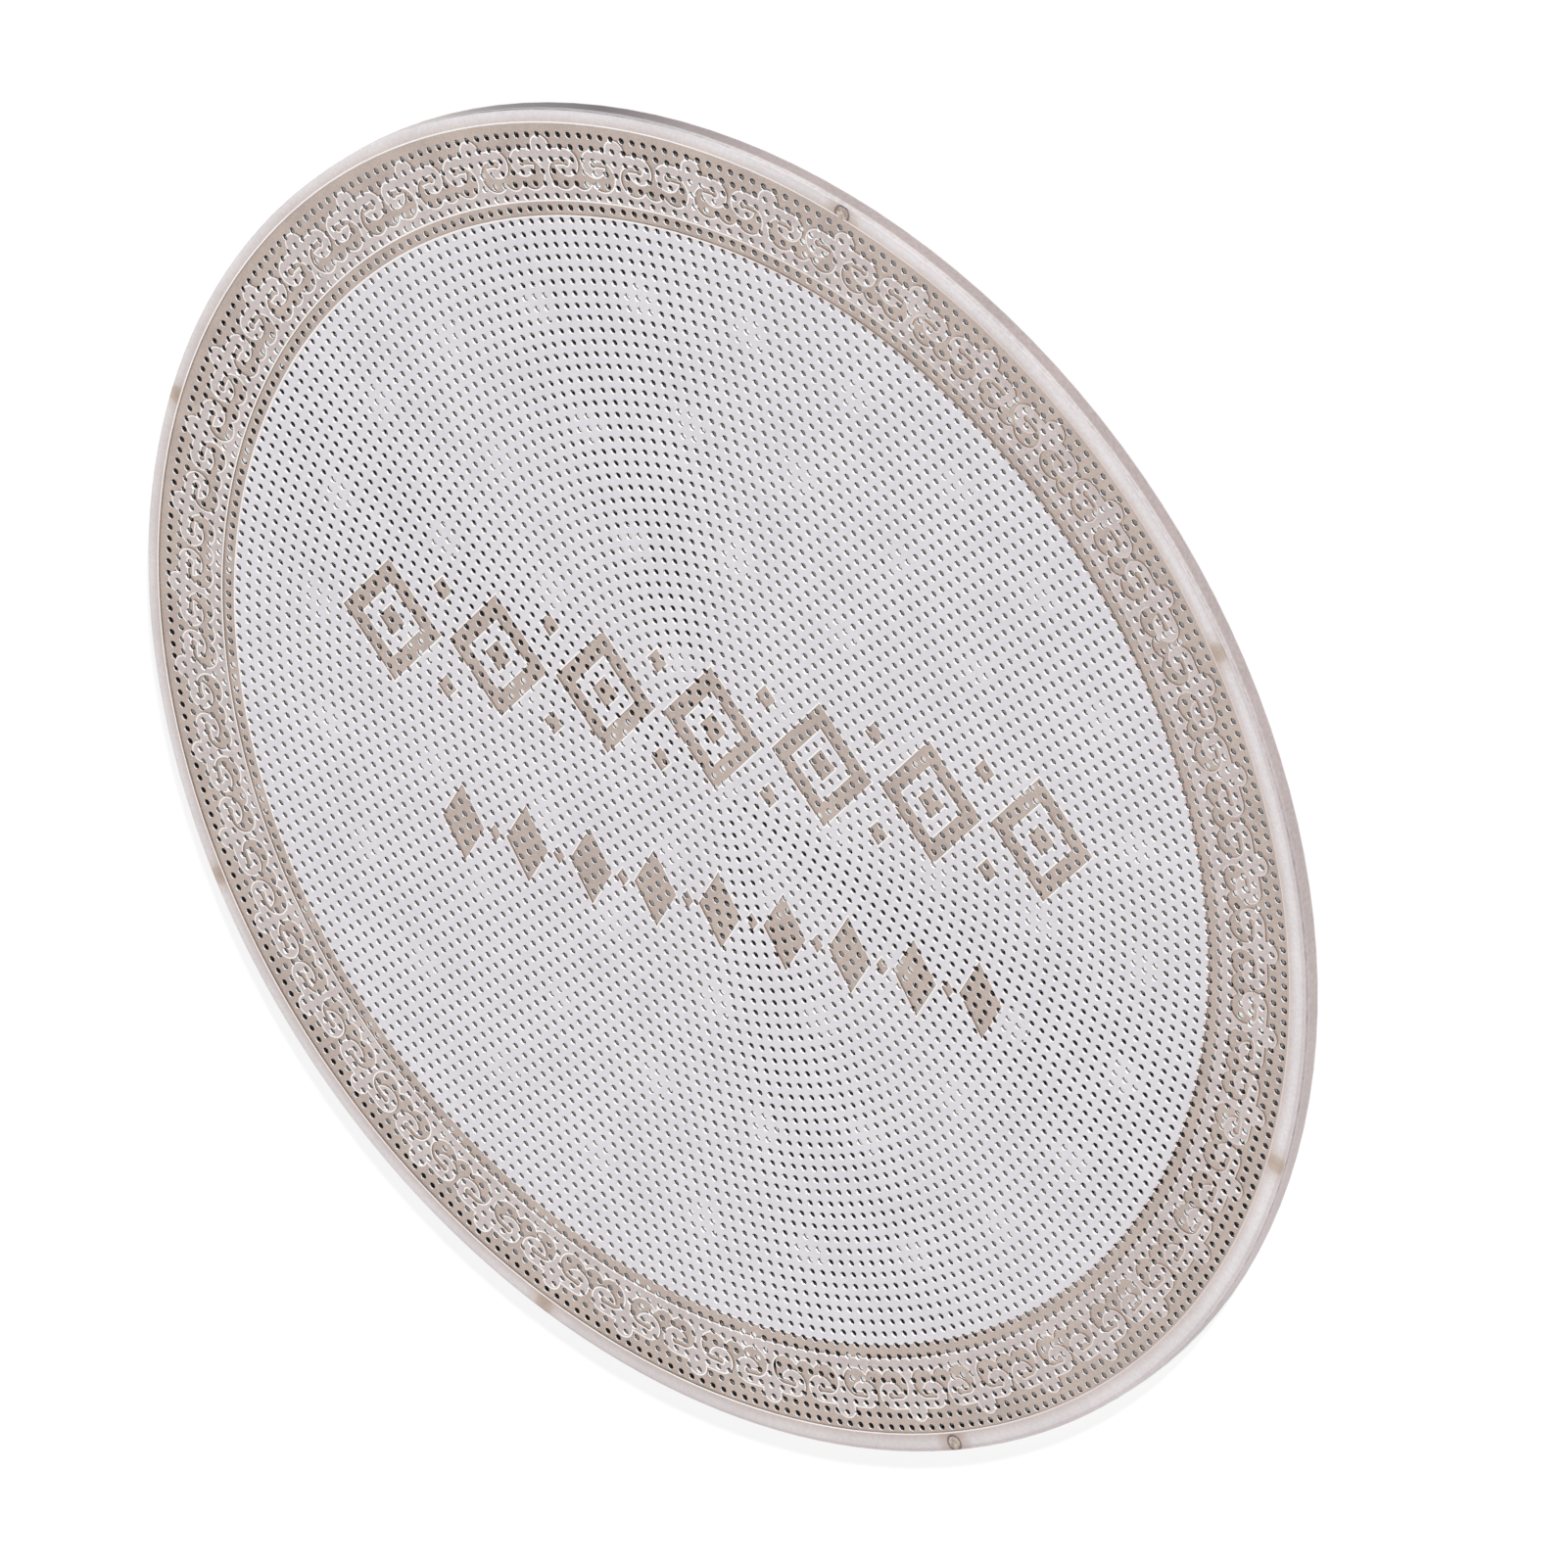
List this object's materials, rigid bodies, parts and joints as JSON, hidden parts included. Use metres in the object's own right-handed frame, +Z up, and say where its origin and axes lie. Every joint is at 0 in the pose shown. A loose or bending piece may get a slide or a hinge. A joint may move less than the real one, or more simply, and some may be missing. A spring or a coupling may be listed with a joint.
{
  "type": "etched filter screen disc",
  "caption": "Thin round stainless filter screen: a finely perforated etched sheet with a half-etched ornamental border, on a rimmed bottom plate with round flow ports.",
  "frame": {"origin": "centre of the disc on its underside, the face that it lies on", "axes": "+Z up through the patterned face, +X along the reading direction of the mark on that face"},
  "size_m": [0.0535, 0.0534, 0.0008],
  "materials": {
    "etched_face": "satin etched stainless steel",
    "etched_back": "satin etched stainless steel"
  },
  "bodies": {
    "root": {"top_screen": "etched_face", "bottom_screen": "etched_back"}
  },
  "joints": []
}
